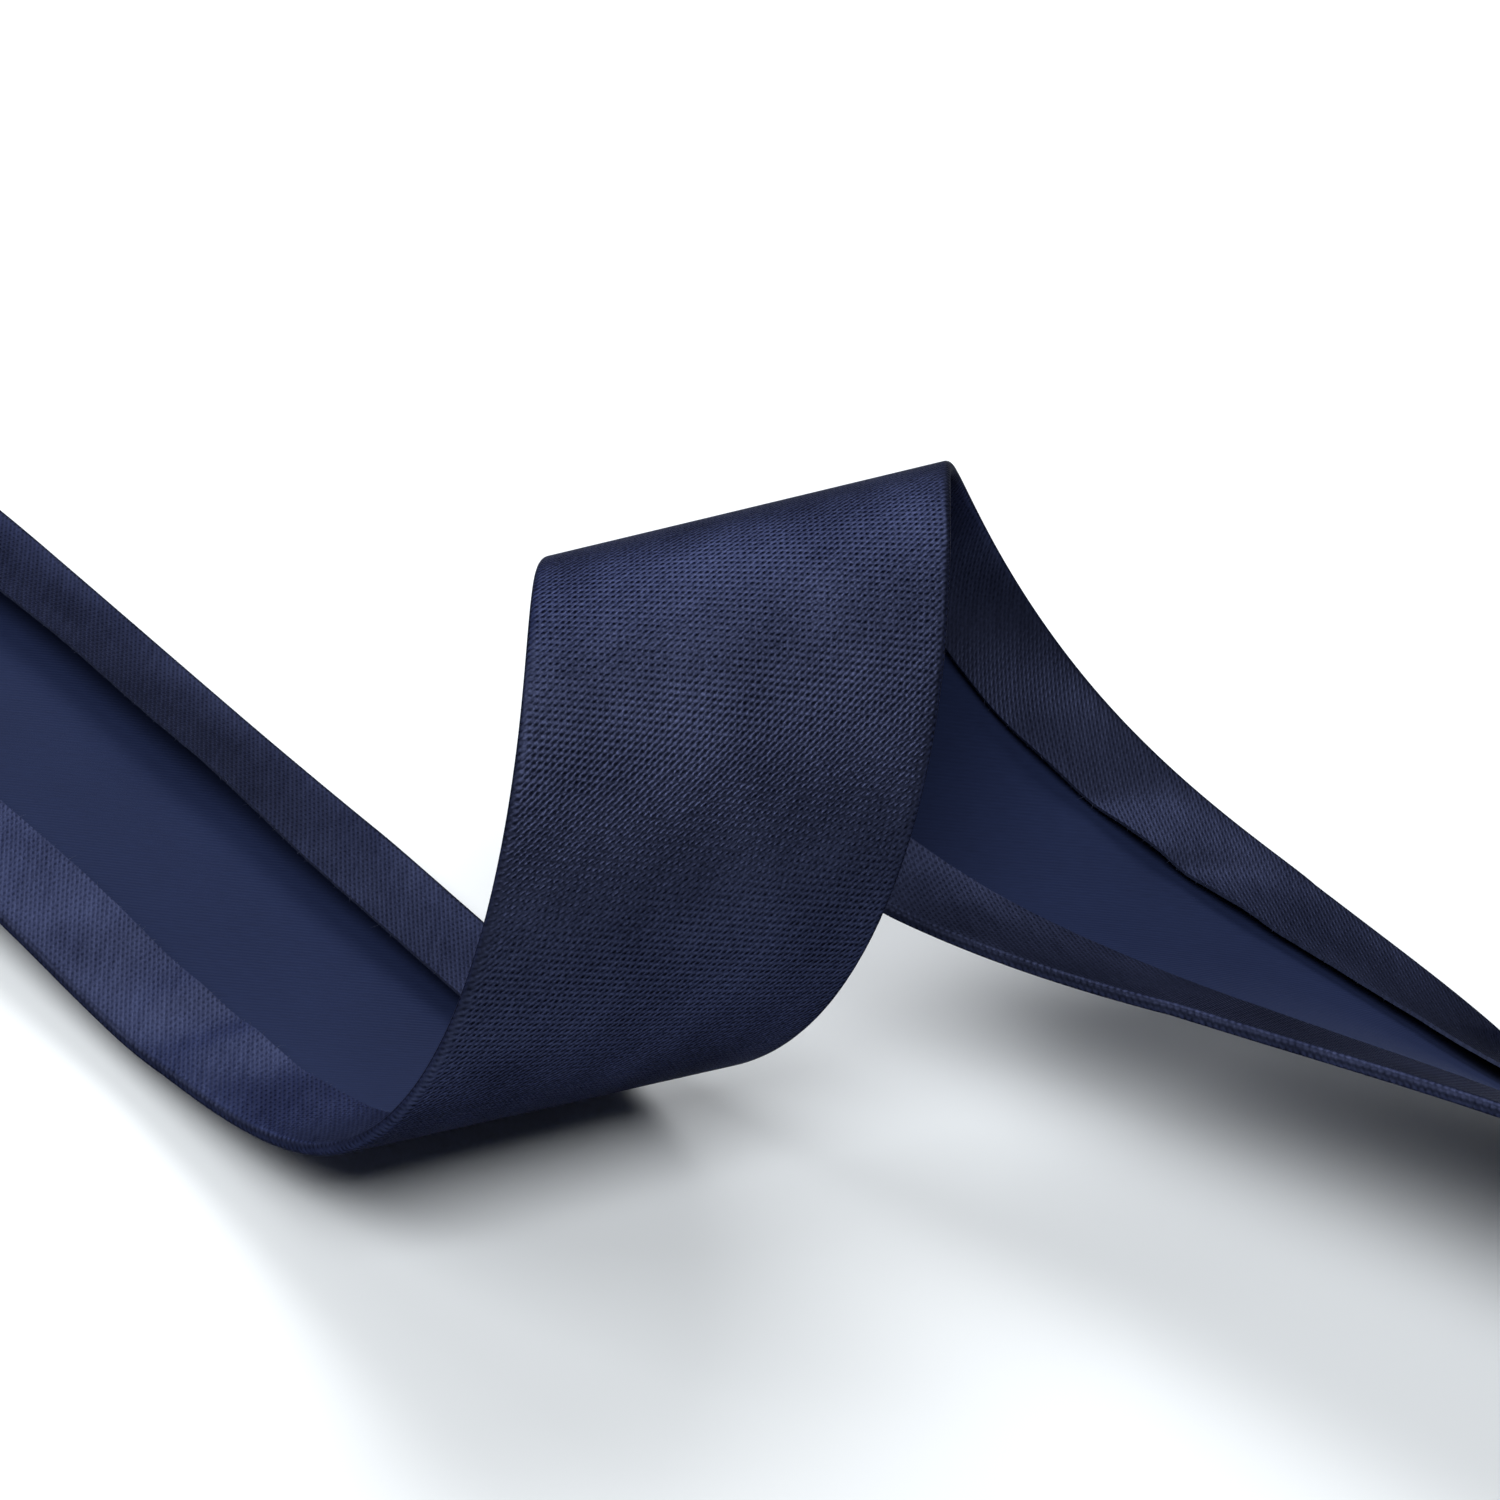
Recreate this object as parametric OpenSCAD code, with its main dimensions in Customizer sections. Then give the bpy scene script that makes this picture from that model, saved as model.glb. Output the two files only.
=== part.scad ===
// A length of satin bias tape lying on a table with one loose curl in the middle.
// Both long edges of the cut strip are pressed over onto the back, so the tape is a wide face,
// two rounded creases and two narrow turnings. The strip is cloth of one thickness throughout.
// Row frame: millimetres, Z up, table at Z = 0, origin under the middle of the whole tape.

/* [Tape] */
// Finished width, from crease to crease
tape_w = 20; // [16:0.5:24]
// Width of each pressed-over turning
turning_w = 5.3; // [4:0.1:6.5]
// Thickness of the satin
cloth_t = 0.2; // [0.15:0.01:0.25]
// Thickness over a pressed crease: two layers and the air held between them
crease_t = 0.7; // [0.65:0.05:0.8]

/* [Tails] */
// Length of each flat tail that can be lifted
tail_l = 40; // [30:1:60]
// Gap between a tail and the run that it hangs on
tail_gap = 0.3; // [0.3:0.05:0.6]
// Distance from a crease's centre line to the near edge of a turning that opens
swing_r = 0.4; // [0.4:0.05:0.6]

/* [Place on the table] */
// Where the left run starts, in X
start_x = -82.7; // [-95:0.1:-70]
// Where the left run starts, in Y
start_y = 61.2; // [45:0.1:75]
// Direction in which the left run sets off, in degrees from X
start_heading = -49; // [-60:0.5:-40]

/* [Hidden] */
// How the tape lies: distance along it from the front of the curl, then how fast it bends
// towards its back and how fast it twists, both in degrees per millimetre.
lay = [
    [-112, 0, 0],
    [-96, 0.25, 0.05],
    [-80, -0.2, -0.35],
    [-64, -0.1, -0.05],
    [-52, -0.1, 0.3],
    [-40, 0.85, -0.65],
    [-30, 3.4, -1],
    [-20, 3.5, -1.3],
    [-10, 3.1, -1.25],
    [0, 3.6, -1.4],
    [10, 4.6, -2],
    [20, 5.45, -2.35],
    [30, 4.55, -2.3],
    [40, 2.9, -1.8],
    [52, 0.8, -1.35],
    [66, 0.35, -1.5],
    [80, -0.4, -0.35],
    [96, -0.6, 0.75],
    [112, -0.27, 1.22],
    [128, 0.2, 0.86],
    [144, 0.52, 0.17],
    [160, 0, 0]
];

// How far the free edge of each turning stands off the face: distance, turning A, turning B.
stand_off = [
    [-112, 0, 0],
    [-90, 1.1, 0.2],
    [-60, 1.3, 0.2],
    [-30, 0.5, 0.1],
    [0, 0.1, 0.1],
    [40, 0.1, 0.1],
    [80, 0.1, 0.2],
    [120, 0.1, 0.3],
    [160, 0, 0]
];

// Where one stretch of the tape ends and the next begins, along the tape
run_start = -112;
rise_start = -44;
curl_top = 4;
fall_end = 52;
run_end = 160;

// Spacing of cross-sections along the tape, and the number of flat bays across the face
section_step = 2;
face_bays = 5;

// Hairline between the solids of one cross-section, so that none shares volume with the next
seam_gap = 0.03;

half_w = tape_w / 2;
crease_r = crease_t / 2;
face_half = half_w - crease_r;
plate_half = face_half - seam_gap;
turning_inner = half_w - turning_w;

satin_navy = [0.11, 0.15, 0.26];
crease_navy = [0.15, 0.19, 0.32];
turning_navy = [0.19, 0.23, 0.36];

// Linear value between two rows of a table
function row_share(table, i, s) = (s - table[i][0]) / (table[i + 1][0] - table[i][0]);
function between(table, column, s, i = 0) =
    i < len(table) - 2 && s > table[i + 1][0]
        ? between(table, column, s, i + 1)
        : let (f = row_share(table, i, s))
          table[i][column] * (1 - f) + table[i + 1][column] * f;

// A vector turned about a rotation vector whose length is the angle in degrees
function turned(v, spin) =
    let (angle = norm(spin))
    angle < 1e-9
        ? v
        : let (axis = spin / angle)
          v * cos(angle) + cross(axis, v) * sin(angle) + axis * (axis * v) * (1 - cos(angle));

// A frame is the middle of the face, then unit vectors along, across and off the back.
// advanced() carries a frame one millimetre along the tape.
function spin_rate(frame, s) =
    between(lay, 2, s + 0.5) * frame[1] - between(lay, 1, s + 0.5) * frame[2];
function advanced(frame, s) =
    let (spin = spin_rate(frame, s))
    [
        frame[0] + turned(frame[1], spin / 2),
        turned(frame[1], spin),
        turned(frame[2], spin),
        turned(frame[3], spin)
    ];

first_frame = [
    [start_x, start_y, 0],
    [cos(start_heading), sin(start_heading), 0],
    [-sin(start_heading), cos(start_heading), 0],
    [0, 0, 1]
];
frames = [
    for (s = run_start, frame = first_frame; s <= run_end; frame = advanced(frame, s), s = s + 1)
        frame
];
function frame_at(s) = frames[s - run_start];

// Twisted cloth bends about slanting lines: this is how far they slant along the tape
function slant(s) =
    let (bend = between(lay, 1, s), twist = between(lay, 2, s))
    -twist * bend / (bend * bend + 1);

// A point of the lay, from the distance along, across and off the face
function laid(s, across, above) =
    let (frame = frame_at(s))
    frame[0] + across * (frame[2] + slant(s) * frame[1]) + above * frame[3];

// Cross-sections in the plane across the tape. side is 1 for edge A and -1 for edge B.
function face_row(above) = [
    for (bay = [0:face_bays])
        [plate_half * (2 * bay / face_bays - 1), above]
];
function face_section() = concat(face_row(0), facing(face_row(cloth_t), -1));
function crease_section(side) = [
    for (turn = [0:45:180])
        [side * (face_half + crease_r * sin(turn)), crease_r * (1 - cos(turn))]
];
function turning_section(side, lift) = [
    [side * turning_inner, crease_t - cloth_t + lift],
    [side * plate_half, crease_t - cloth_t],
    [side * plate_half, crease_t],
    [side * turning_inner, crease_t + lift]
];
function facing(points, side) =
    side > 0 ? points : [for (i = [len(points) - 1:-1:0]) points[i]];

// A closed solid through a row of cross-sections that all have the same number of points
module swept(sections) {
    count = len(sections[0]);
    last = len(sections) - 1;
    walls = [
        for (j = [0:last - 1], i = [0:count - 1])
            let (a = j * count + i, b = j * count + (i + 1) % count)
            each [[a, b, b + count], [a, b + count, a + count]]
    ];
    start_cap = [for (i = [count - 1:-1:0]) i];
    end_cap = [for (i = [0:count - 1]) last * count + i];
    polyhedron(
        points = [for (section = sections) each section],
        faces = concat(walls, [start_cap, end_cap])
    );
}

module laid_face(from, to) {
    section = face_section();
    swept([for (s = [from:section_step:to]) [for (p = section) laid(s, p[0], p[1])]]);
}

module laid_crease(from, to, side) {
    section = facing(crease_section(side), side);
    swept([for (s = [from:section_step:to]) [for (p = section) laid(s, p[0], p[1])]]);
}

module laid_turning(from, to, side) {
    column = side > 0 ? 1 : 2;
    swept([
        for (s = [from:section_step:to])
            let (section = facing(turning_section(side, between(stand_off, column, s)), side))
            [for (p = section) laid(s, p[0], p[1])]
    ]);
}

// The tails are flat. Each is drawn along X from its end of the lay and put in place.
module at_end(s) {
    frame = frame_at(s);
    translate([frame[0][0], frame[0][1], 0])
        rotate([0, 0, atan2(frame[1][1], frame[1][0])])
            children();
}

module tail_face(x) {
    translate([x, -face_half, 0])
        cube([tail_l - tail_gap, 2 * face_half, cloth_t]);
}

module tail_crease(x, side) {
    translate([x, side * face_half, crease_r])
        rotate([90, 0, 90])
            linear_extrude(height = tail_l - tail_gap)
                intersection() {
                    circle(r = crease_r, $fn = 48);
                    translate([side > 0 ? 0 : -crease_t, -crease_r])
                        square([crease_t, crease_t]);
                }
}

module tail_turning(x, side) {
    reach = face_half - swing_r - turning_inner;
    translate([x, side > 0 ? turning_inner : -turning_inner - reach, crease_t - cloth_t])
        cube([tail_l - tail_gap, reach, cloth_t]);
}

module left_tail_face() { color(satin_navy) at_end(run_start) tail_face(-tail_l); }
module left_tail_crease_a() { color(crease_navy) at_end(run_start) tail_crease(-tail_l, 1); }
module left_tail_crease_b() { color(crease_navy) at_end(run_start) tail_crease(-tail_l, -1); }
module left_tail_turning_a() { color(turning_navy) at_end(run_start) tail_turning(-tail_l, 1); }
module left_tail_turning_b() { color(turning_navy) at_end(run_start) tail_turning(-tail_l, -1); }

module left_run_face() { color(satin_navy) laid_face(run_start, rise_start); }
module left_run_crease_a() { color(crease_navy) laid_crease(run_start, rise_start, 1); }
module left_run_crease_b() { color(crease_navy) laid_crease(run_start, rise_start, -1); }
module left_run_turning_a() { color(turning_navy) laid_turning(run_start, rise_start, 1); }
module left_run_turning_b() { color(turning_navy) laid_turning(run_start, rise_start, -1); }

module rise_face() { color(satin_navy) laid_face(rise_start, curl_top); }
module rise_crease_a() { color(crease_navy) laid_crease(rise_start, curl_top, 1); }
module rise_crease_b() { color(crease_navy) laid_crease(rise_start, curl_top, -1); }
module rise_turning_a() { color(turning_navy) laid_turning(rise_start, curl_top, 1); }
module rise_turning_b() { color(turning_navy) laid_turning(rise_start, curl_top, -1); }

module fall_face() { color(satin_navy) laid_face(curl_top, fall_end); }
module fall_crease_a() { color(crease_navy) laid_crease(curl_top, fall_end, 1); }
module fall_crease_b() { color(crease_navy) laid_crease(curl_top, fall_end, -1); }
module fall_turning_a() { color(turning_navy) laid_turning(curl_top, fall_end, 1); }
module fall_turning_b() { color(turning_navy) laid_turning(curl_top, fall_end, -1); }

module right_run_face() { color(satin_navy) laid_face(fall_end, run_end); }
module right_run_crease_a() { color(crease_navy) laid_crease(fall_end, run_end, 1); }
module right_run_crease_b() { color(crease_navy) laid_crease(fall_end, run_end, -1); }
module right_run_turning_a() { color(turning_navy) laid_turning(fall_end, run_end, 1); }
module right_run_turning_b() { color(turning_navy) laid_turning(fall_end, run_end, -1); }

module right_tail_face() { color(satin_navy) at_end(run_end) tail_face(tail_gap); }
module right_tail_crease_a() { color(crease_navy) at_end(run_end) tail_crease(tail_gap, 1); }
module right_tail_crease_b() { color(crease_navy) at_end(run_end) tail_crease(tail_gap, -1); }
module right_tail_turning_a() { color(turning_navy) at_end(run_end) tail_turning(tail_gap, 1); }
module right_tail_turning_b() { color(turning_navy) at_end(run_end) tail_turning(tail_gap, -1); }

left_tail_face();
left_tail_crease_a();
left_tail_crease_b();
left_tail_turning_a();
left_tail_turning_b();
left_run_face();
left_run_crease_a();
left_run_crease_b();
left_run_turning_a();
left_run_turning_b();
rise_face();
rise_crease_a();
rise_crease_b();
rise_turning_a();
rise_turning_b();
fall_face();
fall_crease_a();
fall_crease_b();
fall_turning_a();
fall_turning_b();
right_run_face();
right_run_crease_a();
right_run_crease_b();
right_run_turning_a();
right_run_turning_b();
right_tail_face();
right_tail_crease_a();
right_tail_crease_b();
right_tail_turning_a();
right_tail_turning_b();
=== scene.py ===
"""Looks for a length of navy satin bias tape that lies on a table with one loose curl.

The tape is built as one cloth: a flat strip, 31 mm wide when unfolded, whose two edges are pressed over
onto its back. Every point of it has a place along the tape (s) and a place across the cut cloth (u),
both in millimetres, and one function lays such a point in space. Sizes are in millimetres until a
mesh is made, and the route is the one that the CAD solids follow.
"""

import math

import bpy
import numpy as np
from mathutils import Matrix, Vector


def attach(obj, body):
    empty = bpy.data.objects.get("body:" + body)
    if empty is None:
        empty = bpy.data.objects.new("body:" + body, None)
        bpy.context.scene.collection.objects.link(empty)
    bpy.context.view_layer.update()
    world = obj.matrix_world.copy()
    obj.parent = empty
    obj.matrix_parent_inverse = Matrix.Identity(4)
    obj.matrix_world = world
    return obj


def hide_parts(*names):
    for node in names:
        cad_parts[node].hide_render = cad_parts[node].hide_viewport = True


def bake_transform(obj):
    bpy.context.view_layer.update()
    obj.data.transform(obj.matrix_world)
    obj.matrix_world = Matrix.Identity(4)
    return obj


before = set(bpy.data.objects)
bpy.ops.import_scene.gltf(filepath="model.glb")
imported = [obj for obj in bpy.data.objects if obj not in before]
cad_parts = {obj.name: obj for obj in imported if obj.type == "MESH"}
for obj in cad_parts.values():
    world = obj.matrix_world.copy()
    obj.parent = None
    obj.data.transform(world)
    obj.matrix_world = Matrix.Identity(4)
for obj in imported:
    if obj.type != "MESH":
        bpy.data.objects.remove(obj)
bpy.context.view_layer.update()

MM = 0.001

# The tape, as in the CAD source
TAPE_W = 20.0
TURNING_W = 5.3
CLOTH_T = 0.2
CREASE_T = 0.7
TAIL_L = 40.0
START = (-82.7, 61.2)
START_HEADING = -49.0
RUN_START = -112
RUN_END = 160

# Distance along the tape, bend towards the back and twist, in degrees per millimetre
LAY = np.array(
    [
        (-112, 0, 0),
        (-96, 0.25, 0.05),
        (-80, -0.2, -0.35),
        (-64, -0.1, -0.05),
        (-52, -0.1, 0.3),
        (-40, 0.85, -0.65),
        (-30, 3.4, -1),
        (-20, 3.5, -1.3),
        (-10, 3.1, -1.25),
        (0, 3.6, -1.4),
        (10, 4.6, -2),
        (20, 5.45, -2.35),
        (30, 4.55, -2.3),
        (40, 2.9, -1.8),
        (52, 0.8, -1.35),
        (66, 0.35, -1.5),
        (80, -0.4, -0.35),
        (96, -0.6, 0.75),
        (112, -0.27, 1.22),
        (128, 0.2, 0.86),
        (144, 0.52, 0.17),
        (160, 0, 0),
    ]
)

# Distance along the tape, and how far the free edge of turning A and turning B stands off the face.
# Edge A stands up to 0.5 mm further off than in the CAD solids, as cloth that has sprung open a little
STAND_OFF = np.array(
    [
        (-112, 0, 0),
        (-90, 1.6, 0.2),
        (-60, 1.8, 0.2),
        (-30, 0.5, 0.1),
        (0, 0.1, 0.1),
        (40, 0.1, 0.1),
        (80, 0.5, 0.2),
        (120, 0.6, 0.3),
        (160, 0, 0),
    ]
)

CREASE_R = CREASE_T / 2
FACE_HALF = TAPE_W / 2 - CREASE_R
CREASE_MID_R = CREASE_R - CLOTH_T / 2
CREASE_ARC = math.pi * CREASE_MID_R
TURNING_L = TURNING_W - CREASE_R
TURNING_FROM = FACE_HALF + CREASE_ARC
CUT_HALF = TURNING_FROM + TURNING_L

TAIL_START = RUN_START - TAIL_L
TAIL_END = RUN_END + TAIL_L

# Each tail has a bend piece over this length from its hinge outward, then a twist piece for each turning
# over the next stretch, and the rest of each turning is one flat piece
LIFT_L = 10
TWIST_L = 16
# The turnings lie flat at the tails and stand off the face this far in from them
SETTLE_L = 20

# The mesh has a row of points at every step along the tape, and these columns across half of it
STEP = 0.5
FACE_COLUMNS = 12
CREASE_COLUMNS = 10
TURNING_COLUMNS = 8
# Places closer than this along or across the cloth are the same place
NEAR = 1e-6

# The faces of a piece by kind, which is also their material's place in the list
OUTER, INNER, RIM = 0, 1, 2

# Fibres along the raw edges: how far apart, how thick, how far in from the tails they stop, and how
# far in from the edge the cloth's own direction is taken
LINT_SPACING = 0.5
LINT_R = 0.012
LINT_MARGIN = 9
LINT_ROOT_DEPTH = 0.5
# Seeds for where the fibres start and point, and for how they curl
ROOT_SEED = 18
CURL_SEED = 11


# ---------------------------------------------------------------- the route


def turned(vector, spin):
    """A vector turned about a rotation vector whose length is the angle in radians."""
    angle = np.linalg.norm(spin)
    if angle < 1e-12:
        return vector
    axis = spin / angle
    part = vector * math.cos(angle) + np.cross(axis, vector) * math.sin(angle)
    return part + axis * (axis @ vector) * (1 - math.cos(angle))


def heading_frame(x, y, z, degrees):
    """Centre, then unit vectors along, across and off the back, for tape that lies flat."""
    c, s = math.cos(math.radians(degrees)), math.sin(math.radians(degrees))
    return np.array([(x, y, z), (c, s, 0), (-s, c, 0), (0, 0, 1)], float)


def bend_at(s):
    """Bend towards the back, in degrees per millimetre."""
    return np.interp(s, LAY[:, 0], LAY[:, 1])


def twist_at(s):
    """Twist, in degrees per millimetre."""
    return np.interp(s, LAY[:, 0], LAY[:, 2])


def advanced(here, s):
    """The frame one step further along the tape."""
    bend = math.radians(bend_at(s + STEP / 2))
    twist = math.radians(twist_at(s + STEP / 2))
    spin = (twist * here[1] - bend * here[2]) * STEP
    centre = here[0] + turned(here[1], spin / 2) * STEP
    return np.array([centre] + [turned(here[i], spin) for i in (1, 2, 3)])


def whole_route():
    """The frames at every step along the tape, from one cut end to the other."""
    first = heading_frame(START[0], START[1], 0, START_HEADING)
    between_tails = [first]
    for s in np.arange(RUN_START, RUN_END, STEP):
        between_tails.append(advanced(between_tails[-1], s))
    centre, along = between_tails[-1][:2]
    last = heading_frame(
        centre[0], centre[1], 0, math.degrees(math.atan2(along[1], along[0]))
    )
    count = int(TAIL_L / STEP)
    before = [
        np.array([first[0] - first[1] * STEP * i, *first[1:]])
        for i in range(count, 0, -1)
    ]
    after = [
        np.array([last[0] + last[1] * STEP * i, *last[1:]]) for i in range(1, count + 1)
    ]
    return np.array(before + between_tails + after)


ROUTE = whole_route()


def route_at(s):
    """Frames at distances that are whole steps."""
    return ROUTE[np.rint((np.asarray(s) - TAIL_START) / STEP).astype(int)]


def slant(s):
    """How far the lines that the cloth bends about slant along the tape."""
    bend, twist = bend_at(s), twist_at(s)
    return -twist * bend / (bend * bend + 1)


# ------------------------------------------------------------ the folded cloth


def smooth(x):
    """0 up to 0 and 1 from 1 on, with a smooth rise between."""
    x = np.clip(x, 0, 1)
    return x * x * (3 - 2 * x)


def bump_at(s, middle, reach):
    """1 at the middle, falling smoothly to 0 at that reach."""
    return smooth(1 - np.abs(s - middle) / reach)


def ragged(s, side):
    """How far a raw edge wanders from a straight cut."""
    phase = 1.3 if side > 0 else 4.1
    slow = 0.05 * np.sin(s * 0.43 + phase) + 0.04 * np.sin(s * 0.19 + 2 * phase)
    return slow + 0.008 * np.sin(s * 2.3 + phase) + 0.006 * np.sin(s * 5.1 + 3 * phase)


def puckers(s, side):
    """Small buckles of a turning: of A where the tape comes down from the curl, of B where it rises."""
    phase = 0.4 if side > 0 else 2.2
    strength = 0.16 * bump_at(s, 47, 15) if side > 0 else 0.10 * bump_at(s, -42, 16)
    return strength * (1 + np.sin(s * 0.95 + phase)) + strength * 0.15 * np.sin(s * 2.1)


def held_flat(s):
    """0 on the tails, 1 further in."""
    return smooth((s - RUN_START) / SETTLE_L) * smooth((RUN_END - s) / SETTLE_L)


def cross_section(s, u, layer):
    """Places across and above the face, for cloth places s and u on the outer or inner side."""
    side = np.where(u < 0, -1.0, 1.0)
    q = np.abs(u)
    radius = CREASE_R if layer == OUTER else CREASE_R - CLOTH_T
    angle = np.clip((q - FACE_HALF) / CREASE_MID_R, 0, math.pi)
    along_turning = np.clip(q - TURNING_FROM, 0, None)
    share = along_turning / TURNING_L
    free = held_flat(s)
    stand = np.where(
        side > 0,
        np.interp(s, STAND_OFF[:, 0], STAND_OFF[:, 1]),
        np.interp(s, STAND_OFF[:, 0], STAND_OFF[:, 2]),
    )
    wander = np.where(side > 0, ragged(s, 1), ragged(s, -1))
    buckle = np.where(side > 0, puckers(s, 1), puckers(s, -1)) * free
    across = np.minimum(q, FACE_HALF) + radius * np.sin(angle)
    across = across - along_turning + wander * share**3
    above = CREASE_R - radius * np.cos(angle)
    above = above + stand * share**1.2 + buckle * share * (1.5 - 0.5 * share)
    return side * across, above


def laid(s, u, layer):
    """Points in space and cloth coordinates, for a grid of places along and across the cloth."""
    grid_s, grid_u = np.meshgrid(s, u, indexing="ij")
    across, above = cross_section(grid_s, grid_u, layer)
    here = route_at(grid_s)
    lean = slant(grid_s)
    ruling = here[..., 2, :] + lean[..., None] * here[..., 1, :]
    points = here[..., 0, :] + across[..., None] * ruling + above[..., None] * here[..., 3, :]
    cloth = np.stack([grid_s + lean * across, grid_u, np.zeros_like(grid_u)], -1)
    return points, cloth


def columns():
    """Places across the cut cloth where the mesh has a line of points, from edge B to edge A."""
    face = np.linspace(0, FACE_HALF, FACE_COLUMNS + 1)[1:]
    crease = FACE_HALF + CREASE_ARC * np.linspace(0, 1, CREASE_COLUMNS + 1)[1:]
    turning = TURNING_FROM + TURNING_L * np.linspace(0, 1, TURNING_COLUMNS + 1)[1:]
    half = np.concatenate([face, crease, turning])
    return np.concatenate([-half[::-1], [0.0], half])


COLUMNS = columns()
# The tails' faces, creases and turnings meet one column away from the crease on either side
FACE_SEAM = FACE_HALF * (FACE_COLUMNS - 1) / FACE_COLUMNS
TURNING_SEAM = TURNING_FROM + TURNING_L / TURNING_COLUMNS


def between(low, high):
    """The mesh's columns from one place across the cloth to another."""
    return COLUMNS[(COLUMNS > low - NEAR) & (COLUMNS < high + NEAR)]


# ---------------------------------------------------------------------- meshes


def new_object(name, points, faces, material_of_face, materials, cloth, sharp=()):
    """An object from points in millimetres, with each point's place on the cloth as an attribute."""
    mesh = bpy.data.meshes.new(name)
    mesh.from_pydata((np.asarray(points) * MM).tolist(), [], faces)
    for material in materials:
        mesh.materials.append(material)
    mesh.polygons.foreach_set("material_index", material_of_face)
    mesh.polygons.foreach_set("use_smooth", [True] * len(faces))
    cloth_place = mesh.attributes.new("cloth", "FLOAT_VECTOR", "POINT")
    cloth_place.data.foreach_set("vector", np.asarray(cloth, np.float32).ravel())
    if len(sharp):
        ends = np.zeros(len(mesh.edges) * 2, int)
        mesh.edges.foreach_get("vertices", ends)
        ends = np.sort(ends.reshape(-1, 2), axis=1)
        wanted = np.sort(np.asarray(sharp), axis=1)
        total = len(points)
        mark = np.isin(ends @ [total, 1], wanted @ [total, 1])
        attribute = mesh.attributes.new("sharp_edge", "BOOLEAN", "EDGE")
        attribute.data.foreach_set("value", mark)
    mesh.update()
    new = bpy.data.objects.new(name, mesh)
    bpy.context.scene.collection.objects.link(new)
    return new


def grid_faces(rows, count, first, flip):
    """Quads of a grid of points, wound one way or the other."""
    faces = []
    for i in range(rows - 1):
        for j in range(count - 1):
            a = first + i * count + j
            quad = (a, a + 1, a + count + 1, a + count)
            faces.append(quad[::-1] if flip else quad)
    return faces


def cloth_piece(name, s_range, u_range, layers, materials):
    """A stretch of the cloth. Raw edges and cut ends are closed, and seams with a neighbour are open."""
    s = np.arange(s_range[0], s_range[1] + STEP / 2, STEP)
    u = between(*u_range)
    rows, count = len(s), len(u)
    points, cloth, faces, kinds = [], [], [], []
    for layer in (OUTER, INNER):
        in_space, on_cloth = laid(s, u, layer)
        points.append(in_space.reshape(-1, 3))
        cloth.append(on_cloth.reshape(-1, 3))
        if layer in layers:
            new = grid_faces(rows, count, layer * rows * count, flip=layer == OUTER)
            faces += new
            kinds += [layer] * len(new)
    sharp = []
    both = rows * count

    def rim(line, flip):
        """Closes the gap between the two layers along a line of points."""
        for a, b in zip(line[:-1], line[1:]):
            quad = (a, b, b + both, a + both)
            faces.append(quad if flip else quad[::-1])
            kinds.append(RIM)
            sharp.extend([(a, b), (a + both, b + both)])

    if OUTER in layers:
        if u[0] < -CUT_HALF + NEAR:
            rim([i * count for i in range(rows)], False)
        if u[-1] > CUT_HALF - NEAR:
            rim([i * count + count - 1 for i in range(rows)], True)
        if s[0] < TAIL_START + NEAR:
            rim(list(range(count)), True)
        if s[-1] > TAIL_END - NEAR:
            rim([(rows - 1) * count + j for j in range(count)], False)
    points = np.concatenate(points)
    cloth = np.concatenate(cloth)
    used = np.zeros(len(points), bool)
    used[np.unique(np.concatenate([np.ravel(f) for f in faces]))] = True
    index = np.cumsum(used) - 1
    faces = [tuple(int(index[v]) for v in f) for f in faces]
    sharp = [(int(index[a]), int(index[b])) for a, b in sharp]
    return new_object(name, points[used], faces, kinds, materials, cloth[used], sharp)


# ------------------------------------------------------------------- materials


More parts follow.
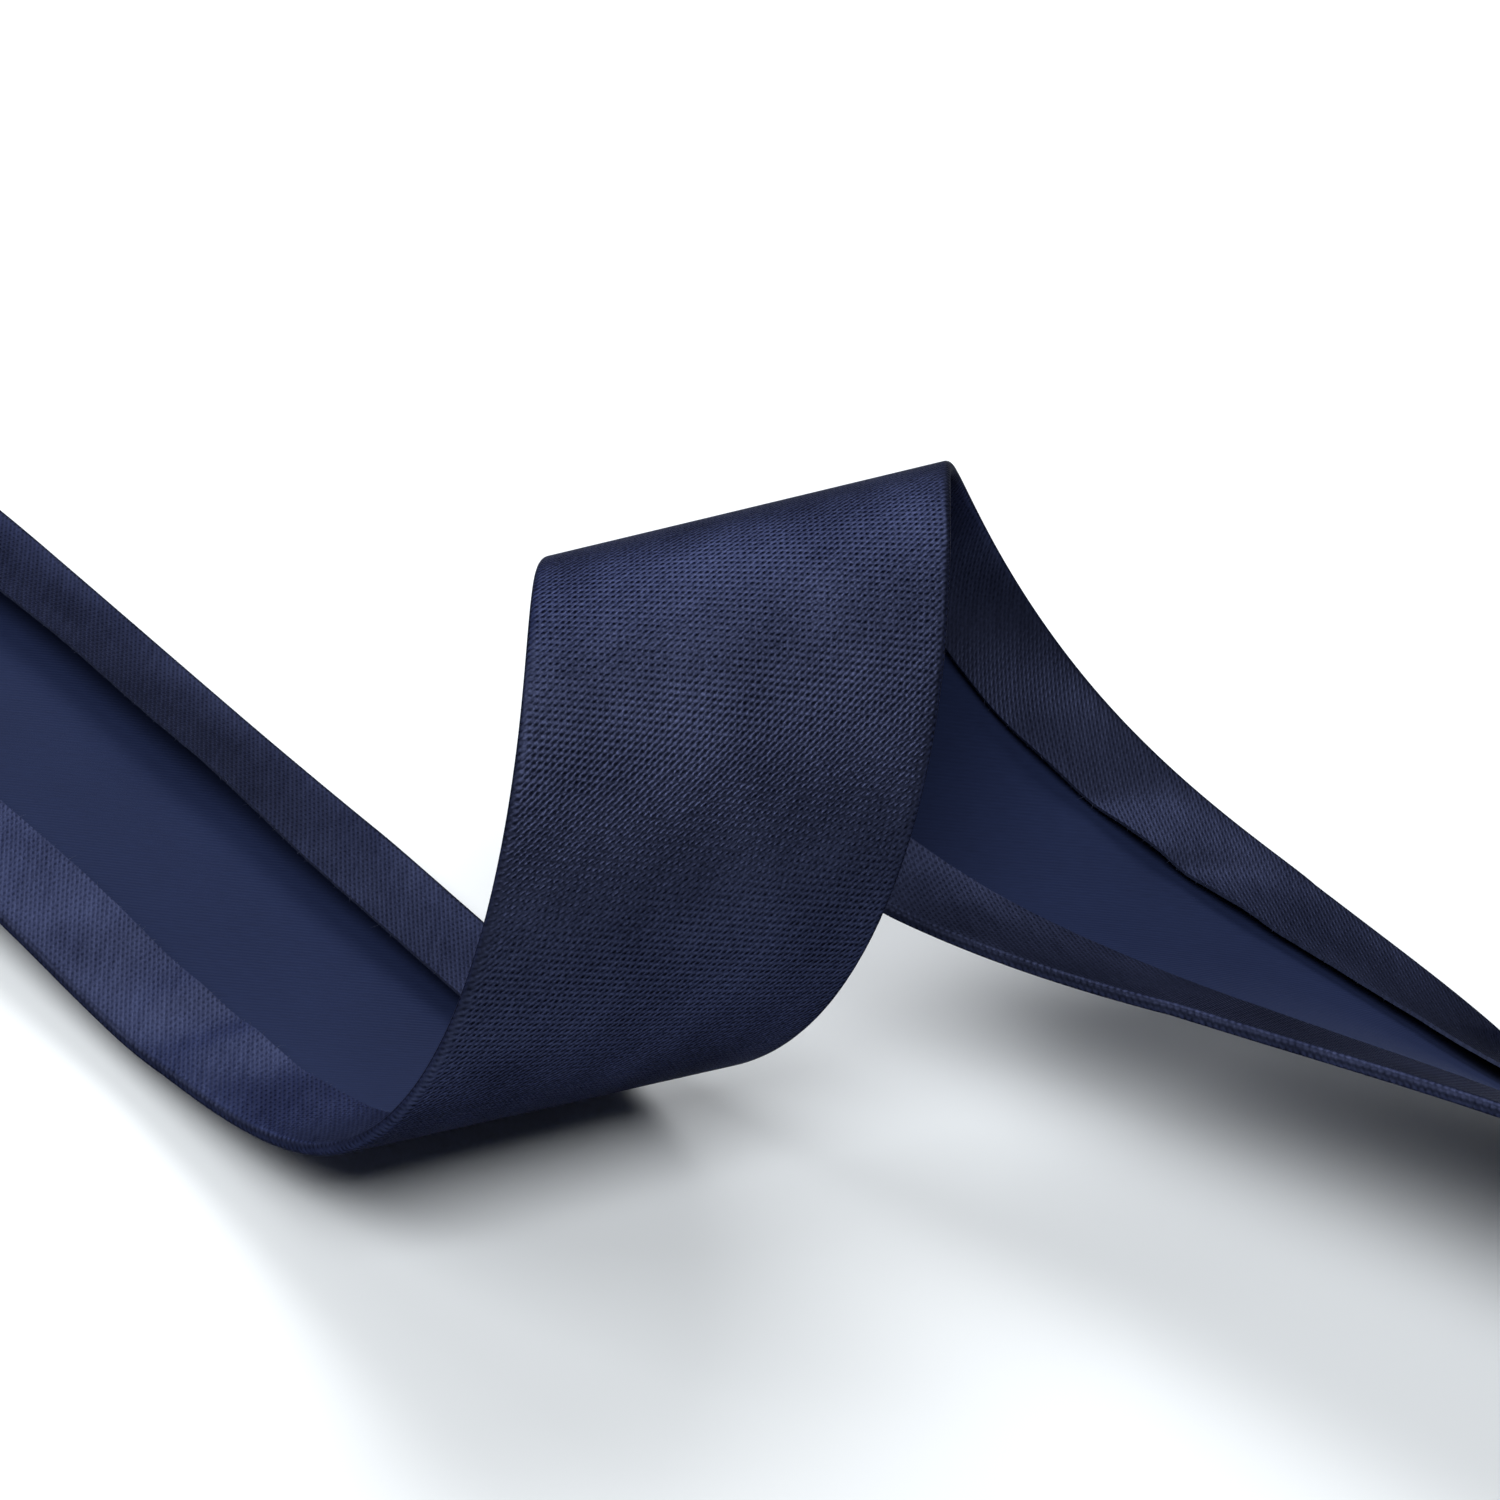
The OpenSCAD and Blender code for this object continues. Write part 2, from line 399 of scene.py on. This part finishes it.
class Nodes:
    """Short ways to build a node tree."""

    def __init__(self, name):
        self.material = bpy.data.materials.new(name)
        self.material.use_nodes = True
        self.tree = self.material.node_tree
        self.shader = self.tree.nodes["Principled BSDF"]

    def add(self, kind, **settings):
        """A new node."""
        node = self.tree.nodes.new(kind)
        for key, value in settings.items():
            setattr(node, key, value)
        return node

    def plug(self, value, socket):
        """Links another node's output to an input, or sets the input to a plain value."""
        if isinstance(value, bpy.types.NodeSocket):
            self.tree.links.new(value, socket)
        else:
            socket.default_value = value

    def math(self, operation, *values, clamp=False):
        """The result of one sum, product or other operation."""
        node = self.add("ShaderNodeMath", operation=operation, use_clamp=clamp)
        for value, socket in zip(values, node.inputs):
            self.plug(value, socket)
        return node.outputs[0]

    def wave(self, phase):
        """Cosine of a phase given in turns."""
        return self.math("COSINE", self.math("MULTIPLY", phase, 2 * math.pi))

    def total(self, terms):
        """The sum of several terms."""
        result = terms[0]
        for term in terms[1:]:
            result = self.math("ADD", result, term)
        return result

    def faded(self, value, share):
        """A value about 0.5 with its swing cut to that share."""
        swing = self.math("MULTIPLY", self.math("SUBTRACT", value, 0.5), share)
        return self.math("ADD", swing, 0.5)

    def blend(self, low, high, share):
        """A colour between two colours."""
        node = self.add("ShaderNodeMix", data_type="RGBA")
        self.plug(share, node.inputs["Factor"])
        node.inputs["A"].default_value = (*low, 1)
        node.inputs["B"].default_value = (*high, 1)
        return node.outputs["Result"]

    def noise(self, x, y, detail=2.0, rough=0.5):
        """Noise that changes over about one unit of x and of y."""
        node = self.add("ShaderNodeTexNoise")
        spot = self.add("ShaderNodeCombineXYZ")
        self.plug(x, spot.inputs["X"])
        self.plug(y, spot.inputs["Y"])
        self.plug(spot.outputs[0], node.inputs["Vector"])
        node.inputs["Scale"].default_value = 1.0
        node.inputs["Detail"].default_value = detail
        node.inputs["Roughness"].default_value = rough
        return node.outputs["Fac"]

    def scaled_noise(self, s, along, u, across, detail=2.0, rough=0.5):
        """Noise with that many changes per millimetre along and across the cloth."""
        x, y = self.math("MULTIPLY", s, along), self.math("MULTIPLY", u, across)
        return self.noise(x, y, detail, rough)

    def cloth(self):
        """Places along and across the cloth in millimetres."""
        node = self.add("ShaderNodeAttribute", attribute_name="cloth")
        parts = self.add("ShaderNodeSeparateXYZ")
        self.plug(node.outputs["Vector"], parts.inputs[0])
        return parts.outputs["X"], parts.outputs["Y"]

    def relief(self, height, depth, normal=None):
        """A bump of that depth in metres, on top of another one if it is given."""
        node = self.add("ShaderNodeBump")
        node.inputs["Strength"].default_value = 1.0
        node.inputs["Distance"].default_value = depth
        self.plug(height, node.inputs["Height"])
        if normal is not None:
            self.plug(normal, node.inputs["Normal"])
        return node.outputs["Normal"]

    def set(self, **values):
        """Sets or links the shader's inputs, each named with _ for a space."""
        for key, value in values.items():
            self.plug(value, self.shader.inputs[key.replace("_", " ")])


# The darkest and the lightest colour of each material
SATIN_DARK, SATIN_LIGHT = (0.0012, 0.0018, 0.0054), (0.0860, 0.1030, 0.2060)
BACK_DARK, BACK_LIGHT = (0.0060, 0.0090, 0.0280), (0.0190, 0.0290, 0.0820)
EDGE_DARK, EDGE_LIGHT = (0.004, 0.006, 0.018), (0.045, 0.058, 0.125)
FIBRE_DARK, FIBRE_LIGHT = (0.010, 0.014, 0.040), (0.075, 0.095, 0.190)

# The weave repeats every 0.30 mm across the tape and 0.36 mm along it, turned a few degrees
REPEAT_ACROSS = 0.30
REPEAT_ALONG = 0.36
WEAVE_TURN = math.radians(3)
# The ribs on the back repeat every so many millimetres
RIB_REPEAT = 0.21
# How strongly each set of lines shows: repeats across, repeats along, strength
WEAVE_LINES = (
    (1, -1, 0.42),
    (0, 1, 0.19),
    (1, 0, 0.15),
    (1, -2, 0.14),
    (1, 1, 0.10),
)


# The yarns run at 45 degrees to the tape, and this is the cosine and the sine of that angle
BIAS = math.sqrt(0.5)
# Pressing flattens the weave by this share on the folds and turnings, and starts this far in from
# the folds
PRESS_LOSS = 0.65
PRESS_EDGE = 0.4


def weave(n, s, u):
    """Height of the weave from 0 in a dip between yarns to 1 on the back of a yarn."""
    cosine, sine = math.cos(WEAVE_TURN), math.sin(WEAVE_TURN)
    across = n.math(
        "ADD",
        n.math("MULTIPLY", u, cosine / REPEAT_ACROSS),
        n.math("MULTIPLY", s, sine / REPEAT_ACROSS),
    )
    along = n.math(
        "SUBTRACT",
        n.math("MULTIPLY", s, cosine / REPEAT_ALONG),
        n.math("MULTIPLY", u, sine / REPEAT_ALONG),
    )
    terms = []
    for repeats_across, repeats_along, strength in WEAVE_LINES:
        phase = n.math(
            "ADD",
            n.math("MULTIPLY", across, repeats_across),
            n.math("MULTIPLY", along, repeats_along),
        )
        terms.append(n.math("MULTIPLY", n.wave(phase), -0.5 * strength))
    return n.math("ADD", n.total(terms), 0.5)


def yarn_noise(n, s, u, fine, long):
    """Noise drawn out along the yarns, with its size in millimetres over and along them."""
    with_yarn = n.math("MULTIPLY", n.math("ADD", s, u), BIAS / long)
    over_yarn = n.math("MULTIPLY", n.math("SUBTRACT", s, u), BIAS / fine)
    return n.noise(with_yarn, over_yarn, 3.0, 0.6)


def satin():
    """The satin side: fine floats on the bias, with slight bars where yarns differ. Its colour holds
    painted shade in the dips of the weave and on the folds and turnings, and painted highlight on the
    yarn tops.
    """
    n = Nodes("satin_face")
    s, u = n.cloth()
    past_face = n.math("SUBTRACT", n.math("ABSOLUTE", u), FACE_HALF - PRESS_EDGE)
    pressed_and_painted_shade = n.math("DIVIDE", past_face, PRESS_EDGE + CREASE_ARC / 2, clamp=True)
    shown = n.math("SUBTRACT", 1.0, n.math("MULTIPLY", pressed_and_painted_shade, PRESS_LOSS))
    height = n.faded(weave(n, s, u), shown)
    grain = n.faded(n.scaled_noise(s, 5.0, u, 5.0, 3.0, 0.7), shown)
    bars = yarn_noise(n, s, u, 0.35, 3.0)
    cloud = n.scaled_noise(s, 0.13, u, 0.2)
    # The weave height paints shade into the colour of the dips and highlight onto the yarn tops; grain,
    # bars and cloud are the cloth's own tone
    tone = n.total(
        [
            n.math("MULTIPLY", height, 0.62),
            n.math("MULTIPLY", grain, 0.90),
            n.math("MULTIPLY", bars, 0.22),
            n.math("MULTIPLY", cloud, 0.35),
            # Painted shade: the folds and turnings are coloured a little darker
            n.math("MULTIPLY", pressed_and_painted_shade, -0.035),
            -0.515,
        ]
    )
    tone = n.math("POWER", n.math("ADD", tone, 0.0, clamp=True), 1.8)
    n.set(
        Base_Color=n.blend(SATIN_DARK, SATIN_LIGHT, tone),
        Metallic=0.85,
        Roughness=n.total(
            [n.math("MULTIPLY", height, -0.12), n.math("MULTIPLY", pressed_and_painted_shade, 0.06), 0.49]
        ),
        Normal=n.relief(height, 0.00006, n.relief(grain, 0.00004)),
    )
    n.shader.inputs["Specular IOR Level"].default_value = 0.02
    n.shader.inputs["Specular Tint"].default_value = (0.02, 0.03, 0.08, 1)
    return n.material


def reverse():
    """The back of the satin: smoother, duller and a little bluer, with faint ribs."""
    n = Nodes("satin_back")
    s, u = n.cloth()
    rib = n.wave(n.math("MULTIPLY", n.math("SUBTRACT", s, u), BIAS / RIB_REPEAT))
    grain = yarn_noise(n, s, u, 0.16, 0.9)
    cloud = n.scaled_noise(s, 0.11, u, 0.16)
    tone = n.total(
        [
            n.math("MULTIPLY", rib, 0.035),
            n.math("MULTIPLY", grain, 0.42),
            n.math("MULTIPLY", cloud, 0.30),
            0.14,
        ]
    )
    tone = n.math("ADD", tone, 0.0, clamp=True)
    n.set(
        Base_Color=n.blend(BACK_DARK, BACK_LIGHT, tone),
        Roughness=n.math("ADD", 0.62, n.math("MULTIPLY", grain, 0.12)),
        Sheen_Weight=0.02,
        Sheen_Roughness=0.5,
        Sheen_Tint=(0.55, 0.62, 0.9, 1),
        Normal=n.relief(n.math("ADD", n.math("MULTIPLY", rib, 0.4), grain), 0.000008),
    )
    n.shader.inputs["Specular IOR Level"].default_value = 0.04
    n.shader.inputs["Specular Tint"].default_value = (0.65, 0.78, 1.0, 1)
    return n.material


def cut_edge():
    """The raw edge of the cloth, where the yarn ends show."""
    n = Nodes("cut_edge")
    s, u = n.cloth()
    ends = n.scaled_noise(s, 7.0, u, 7.0, 3.0)
    n.set(
        Base_Color=n.blend(EDGE_DARK, EDGE_LIGHT, ends),
        Roughness=n.math("ADD", 0.72, n.math("MULTIPLY", ends, 0.15)),
        Normal=n.relief(ends, 0.00003),
    )
    n.shader.inputs["Specular IOR Level"].default_value = 0.25
    return n.material


def fibre():
    """Loose yarn ends and lint."""
    n = Nodes("loose_fibre")
    s, u = n.cloth()
    tone = n.scaled_noise(s, 3.0, u, 3.0)
    n.set(
        Base_Color=n.blend(FIBRE_DARK, FIBRE_LIGHT, tone),
        Roughness=n.math("ADD", 0.55, n.math("MULTIPLY", tone, 0.2)),
    )
    return n.material


CLOTH = (satin(), reverse(), cut_edge())
FIBRE = fibre()

# ------------------------------------------------------------ pieces and bodies

# The whole width of the cut cloth, and the edges by name with the side of the tape each is on
CUT = (-CUT_HALF, CUT_HALF)
EDGES = (("a", 1), ("b", -1))


def piece(name, s_range, u_range, layers=(OUTER, INNER)):
    """A piece of the cloth, with its material slot."""
    shell = cloth_piece(name, s_range, u_range, layers, CLOTH)
    return shell


STRETCHES = ("left_run", "rise", "fall", "right_run")
ZONES = ("face", "crease_a", "crease_b", "turning_a", "turning_b")

tape = piece("tape_cloth", (RUN_START, RUN_END), CUT)
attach(tape, "run_and_curl")
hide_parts(*[f"{stretch}_{zone}" for stretch in STRETCHES for zone in ZONES])


def tail(side, hinge_s, outward):
    """One tail: the bend over its hinge, its face, and its two turnings with their creases and linings.
    """
    body = f"{side}_tail"

    def span(a, b):
        """Two distances outward from the hinge, in rising order along the tape."""
        return tuple(sorted((hinge_s + outward * a, hinge_s + outward * b)))

    bend = piece(f"{side}_bend", span(0, LIFT_L), CUT)
    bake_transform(bend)
    face = piece(f"{side}_tail_cloth", span(LIFT_L, TAIL_L), (-FACE_SEAM, FACE_SEAM))
    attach(face, body)
    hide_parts(f"{body}_face")
    twist = span(LIFT_L, LIFT_L + TWIST_L)
    opened = span(LIFT_L + TWIST_L, TAIL_L)
    for edge, sign in EDGES:
        flap = f"{side}_flap_{edge}"
        crease_u = tuple(sorted((sign * FACE_SEAM, sign * TURNING_SEAM)))
        turning_u = tuple(sorted((sign * TURNING_SEAM, sign * CUT_HALF)))
        plate = piece(f"{side}_turning_{edge}", opened, turning_u)
        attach(plate, flap)
        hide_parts(f"{body}_turning_{edge}")
        twisting = piece(f"{side}_turning_{edge}_twist", twist, turning_u)
        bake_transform(twisting)
        for layer, word, low, high in (
            (OUTER, "crease", 0.0, CREASE_T),
            (INNER, "lining", CLOTH_T, CREASE_T - CLOTH_T),
        ):
            roll = piece(f"{side}_{word}_{edge}", opened, crease_u, (layer,))
            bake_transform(roll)
            if layer == OUTER:
                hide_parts(f"{body}_crease_{edge}")
            rolling = piece(f"{side}_{word}_{edge}_twist", twist, crease_u, (layer,))
            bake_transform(rolling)


tail("left", RUN_START, -1)
tail("right", RUN_END, 1)


# ------------------------------------------------------------------ loose yarns


# Each fibre is a thin three-sided tube, with a ring of points at these shares of its length
FIBRE_RINGS = (-0.15, 0.35, 0.7, 1.0)
FIBRE_SIDES = 3


def tube_faces(base):
    """The faces of one fibre whose points start at that number."""
    faces = []
    for ring in range(len(FIBRE_RINGS) - 1):
        for corner in range(FIBRE_SIDES):
            a = base + ring * FIBRE_SIDES + corner
            b = base + ring * FIBRE_SIDES + (corner + 1) % FIBRE_SIDES
            faces.append((a, b, b + FIBRE_SIDES, a + FIBRE_SIDES))
    tip = base + (len(FIBRE_RINGS) - 1) * FIBRE_SIDES
    faces.append((base + 2, base + 1, base))
    faces.append((tip, tip + 1, tip + 2))
    return faces


def yarn_ends(name, body, roots, directions, lengths):
    """Thin tapering yarn ends, each curling a little as it leaves the cloth."""
    rng = np.random.default_rng(CURL_SEED + len(roots))
    points, faces, cloth = [], [], []
    for root, direction, length in zip(roots, directions, lengths):
        drift = rng.normal(0, 0.45, 3)
        side = np.cross(direction, (0.3, 0.2, 0.93))
        side = side / np.linalg.norm(side)
        other = np.cross(direction, side)
        faces += tube_faces(len(points))
        for ring, share in enumerate(FIBRE_RINGS):
            out = max(share, 0)
            centre = root + direction * length * share + drift * length * out**2
            thick = LINT_R * (1 - 0.75 * out)
            for corner in range(FIBRE_SIDES):
                angle = corner * 2 * math.pi / FIBRE_SIDES
                offset = side * math.cos(angle) + other * math.sin(angle)
                points.append(centre + offset * thick)
                cloth.append((root[0] + ring, root[1], 0))
    ends = new_object(name, points, faces, [0] * len(faces), (FIBRE,), cloth)
    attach(ends, body)


def raw_edge_lint(name, body, side):
    """Short fibres along a raw edge of the runs and the curl."""
    rng = np.random.default_rng(ROOT_SEED + side)
    s = np.arange(RUN_START + LINT_MARGIN, RUN_END - LINT_MARGIN, LINT_SPACING)
    s = np.round(s / STEP) * STEP
    points, _ = laid(s, np.array([side * CUT_HALF]), OUTER)
    inside, _ = laid(s, np.array([side * (CUT_HALF - LINT_ROOT_DEPTH)]), OUTER)
    lower, _ = laid(s, np.array([side * CUT_HALF]), INNER)
    out = (points - inside)[:, 0]
    out = out / np.linalg.norm(out, axis=1)[:, None]
    along = route_at(s)[:, 1]
    lean = rng.normal(side * 0.7, 0.5, len(s))[:, None]
    direction = out + lean * along + rng.normal(0, 0.12, (len(s), 3))
    direction = direction / np.linalg.norm(direction, axis=1)[:, None]
    mix = rng.random((len(s), 1))
    roots = points[:, 0] * mix + lower[:, 0] * (1 - mix)
    roots = roots + along * rng.normal(0, LINT_SPACING / 3, (len(s), 1))
    lengths = 0.08 + 0.22 * rng.random(len(s)) ** 2
    yarn_ends(name, body, roots, direction, lengths)


for edge, sign in EDGES:
    raw_edge_lint(f"lint_{edge}", "run_and_curl", sign)

# ------------------------------------------------------------- stage and camera

# The camera looks at a point in the curl, this far from the start of the left run
TARGET_FROM_START = (67.128, -48.366, 15.0)
TARGET = (np.array((*START, 0)) + TARGET_FROM_START) * MM
ELEVATION = math.radians(42.5)
CAMERA_DISTANCE = 260 * MM
SENSOR_W = 36.0
PICTURE_W = 75 * MM

camera_data = bpy.data.cameras.new("camera")
camera_data.sensor_width = SENSOR_W
camera_data.lens = SENSOR_W * CAMERA_DISTANCE / PICTURE_W
camera_data.clip_start = 0.01
camera_data.clip_end = 20
camera = bpy.data.objects.new("camera", camera_data)
bpy.context.scene.collection.objects.link(camera)
camera.location = TARGET + CAMERA_DISTANCE * np.array(
    (0, -math.cos(ELEVATION), math.sin(ELEVATION))
)
camera.rotation_euler = (math.pi / 2 - ELEVATION, 0, 0)
bpy.context.scene.camera = camera


# Half the table's width, and how far its top is below the tape, so that no two faces coincide
TABLE_HALF = 3.0
TABLE_DROP = 0.2 * MM


def table_top():
    """A wide pale table."""
    mesh = bpy.data.meshes.new("table_top")
    signs = ((-1, -1), (1, -1), (1, 1), (-1, 1))
    corners = [(x * TABLE_HALF, y * TABLE_HALF, 0) for x, y in signs]
    mesh.from_pydata(corners, [], [(0, 1, 2, 3)])
    n = Nodes("table_white")
    n.set(Base_Color=(0.84, 0.878, 0.905, 1), Roughness=0.42)
    n.shader.inputs["Specular IOR Level"].default_value = 0.3
    mesh.materials.append(n.material)
    floor = bpy.data.objects.new("table_top", mesh)
    floor.location = (0, 0, -TABLE_DROP)
    bpy.context.scene.collection.objects.link(floor)


table_top()

LIGHT_DISTANCE = 1.0


def soft_box(name, azimuth, elevation, width, height, power):
    """A large white area light that faces the middle of the tape."""
    light = bpy.data.lights.new(name, "AREA")
    light.shape = "RECTANGLE"
    light.size = width
    light.size_y = height
    light.energy = power
    lamp = bpy.data.objects.new(name, light)
    bpy.context.scene.collection.objects.link(lamp)
    a, e = math.radians(azimuth), math.radians(elevation)
    back = np.array((math.sin(a) * math.cos(e), math.cos(a) * math.cos(e), math.sin(e)))
    lamp.location = TARGET + back * LIGHT_DISTANCE
    lamp.rotation_euler = Vector(back).to_track_quat("Z", "Y").to_euler()


# Azimuth 0 is behind the tape, as the camera sees it, and turns clockwise from above
soft_box("ceiling", 170, 68, 0.75, 0.5, 7.9)
soft_box("far_window", -27, 20, 0.7, 0.34, 3.9)
soft_box("left_window", -82, 42, 0.5, 0.34, 2.7)
soft_box("far_ceiling", 8, 46, 0.6, 0.36, 5.2)

world = bpy.data.worlds.new("studio")
bpy.context.scene.world = world
world.use_nodes = True
background = world.node_tree.nodes["Background"]
background.inputs["Color"].default_value = (0.95, 0.975, 1.0, 1)
background.inputs["Strength"].default_value = 0.02
bpy.context.scene.view_settings.view_transform = "Standard"
